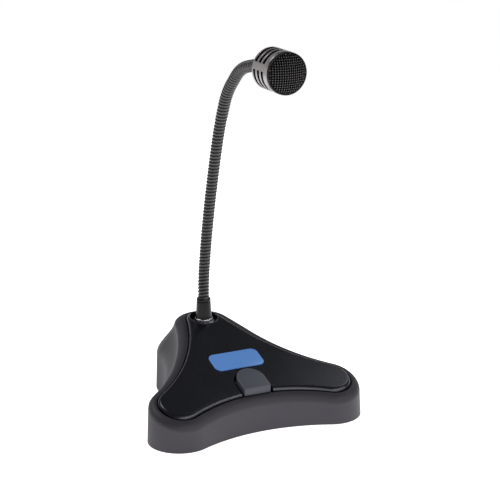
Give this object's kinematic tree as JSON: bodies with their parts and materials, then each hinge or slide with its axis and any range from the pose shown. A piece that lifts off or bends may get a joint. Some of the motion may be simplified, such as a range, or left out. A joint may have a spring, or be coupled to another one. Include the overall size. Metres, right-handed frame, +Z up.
{
  "type": "paging microphone",
  "caption": "Desk paging microphone: sloping lobed base with a press-to-talk key, ribbed flexible neck and slotted head with a domed wire grille.",
  "frame": {"origin": "on the table under the middle of the object's box", "axes": "+Z up, front (key and grille) towards -Y, alike on both sides of X = 0"},
  "size_m": [0.1954, 0.2096, 0.3286],
  "materials": {
    "shell_grey": "fine moulded texture, mid grey",
    "plate_black": "fine moulded texture, near black",
    "badge_blue": "plain mid blue, glossy",
    "key_grey": "satin, dark grey",
    "plate_steel": "zinc-plated and painted sheet steel",
    "bright_steel": "plated steel",
    "black_rubber": "matt black",
    "board_green": "solder mask",
    "black_plastic": "black",
    "white_plastic": "off-white",
    "green_plastic": "green",
    "collar_black": "polished black",
    "neck_black": "satin black on a wound steel tube",
    "head_grey": "satin silver-grey paint",
    "grille_black": "satin black wire",
    "black_cloth": "acoustic cloth and foam",
    "brass_foil": "thin foil"
  },
  "bodies": {
    "base": {"base_shell": "shell_grey", "top_plate": "plate_black", "badge_plate": "badge_blue", "bottom_plate": "plate_steel", "rubber_feet": "black_rubber", "bottom_screws": "bright_steel", "return_spring": "bright_steel", "switch_body": "black_plastic", "circuit_board": "board_green", "board_posts": "bright_steel", "board_screws": "bright_steel", "lead_plug": "white_plastic", "mic_lead": "black_rubber", "cord_terminals": "green_plastic", "cord_grommet": "black_rubber", "neck_collar": "collar_black", "neck_bush": "bright_steel", "bush_washer": "bright_steel", "bush_nut": "bright_steel", "neck_ferrule": "neck_black", "neck_1": "neck_black"},
    "ptt_key": {"ptt_button": "key_grey", "switch_plunger": "white_plastic"},
    "neck_2": {"neck_2": "neck_black"},
    "neck_3": {"neck_3": "neck_black"},
    "neck_4": {"neck_4": "neck_black"},
    "neck_5": {"neck_5": "neck_black"},
    "neck_6": {"neck_6": "neck_black"},
    "neck_7": {"neck_7": "neck_black"},
    "mic_head": {"neck_8": "neck_black", "head_cap": "neck_black", "head_barrel": "head_grey", "head_liner": "black_cloth", "capsule": "bright_steel", "diaphragm": "brass_foil", "capsule_ring": "black_rubber", "grille_ring": "black_plastic", "grille_foam": "black_cloth", "grille_mesh": "grille_black"}
  },
  "joints": [
    {"name": "key_press", "type": "slide", "parent": "base", "child": "ptt_key", "axis": [0, 0, -1], "range_m": [0, 0.0025], "stiffness_N_per_m": 800, "springref_m": -0.002, "deforming": ["return_spring"]},
    {"name": "neck_pitch_1", "type": "hinge", "parent": "base", "child": "neck_2", "pos_m": [0, 0.05519, 0.12071], "axis": [1, 0, 0], "range_deg": [-25, 20]},
    {"name": "neck_sway_2", "type": "hinge", "parent": "neck_2", "child": "neck_3", "pos_m": [0, 0.04825, 0.15643], "axis": [0, 0.9763, 0.2164], "range_deg": [-24, 24]},
    {"name": "neck_pitch_3", "type": "hinge", "parent": "neck_3", "child": "neck_4", "pos_m": [0, 0.0396, 0.19179], "axis": [1, 0, 0], "range_deg": [-25, 20]},
    {"name": "neck_sway_4", "type": "hinge", "parent": "neck_4", "child": "neck_5", "pos_m": [0, 0.02956, 0.22677], "axis": [0, 0.9563, 0.2924], "range_deg": [-24, 24]},
    {"name": "neck_pitch_5", "type": "hinge", "parent": "neck_5", "child": "neck_6", "pos_m": [0, 0.01683, 0.26083], "axis": [1, 0, 0], "range_deg": [-25, 20]},
    {"name": "neck_sway_6", "type": "hinge", "parent": "neck_6", "child": "neck_7", "pos_m": [0, -0.00396, 0.29025], "axis": [0, 0.6884, 0.7254], "range_deg": [-24, 24]},
    {"name": "neck_pitch_7", "type": "hinge", "parent": "neck_7", "child": "mic_head", "pos_m": [0, -0.03537, 0.3073], "axis": [1, 0, 0], "range_deg": [-25, 20]}
  ]
}
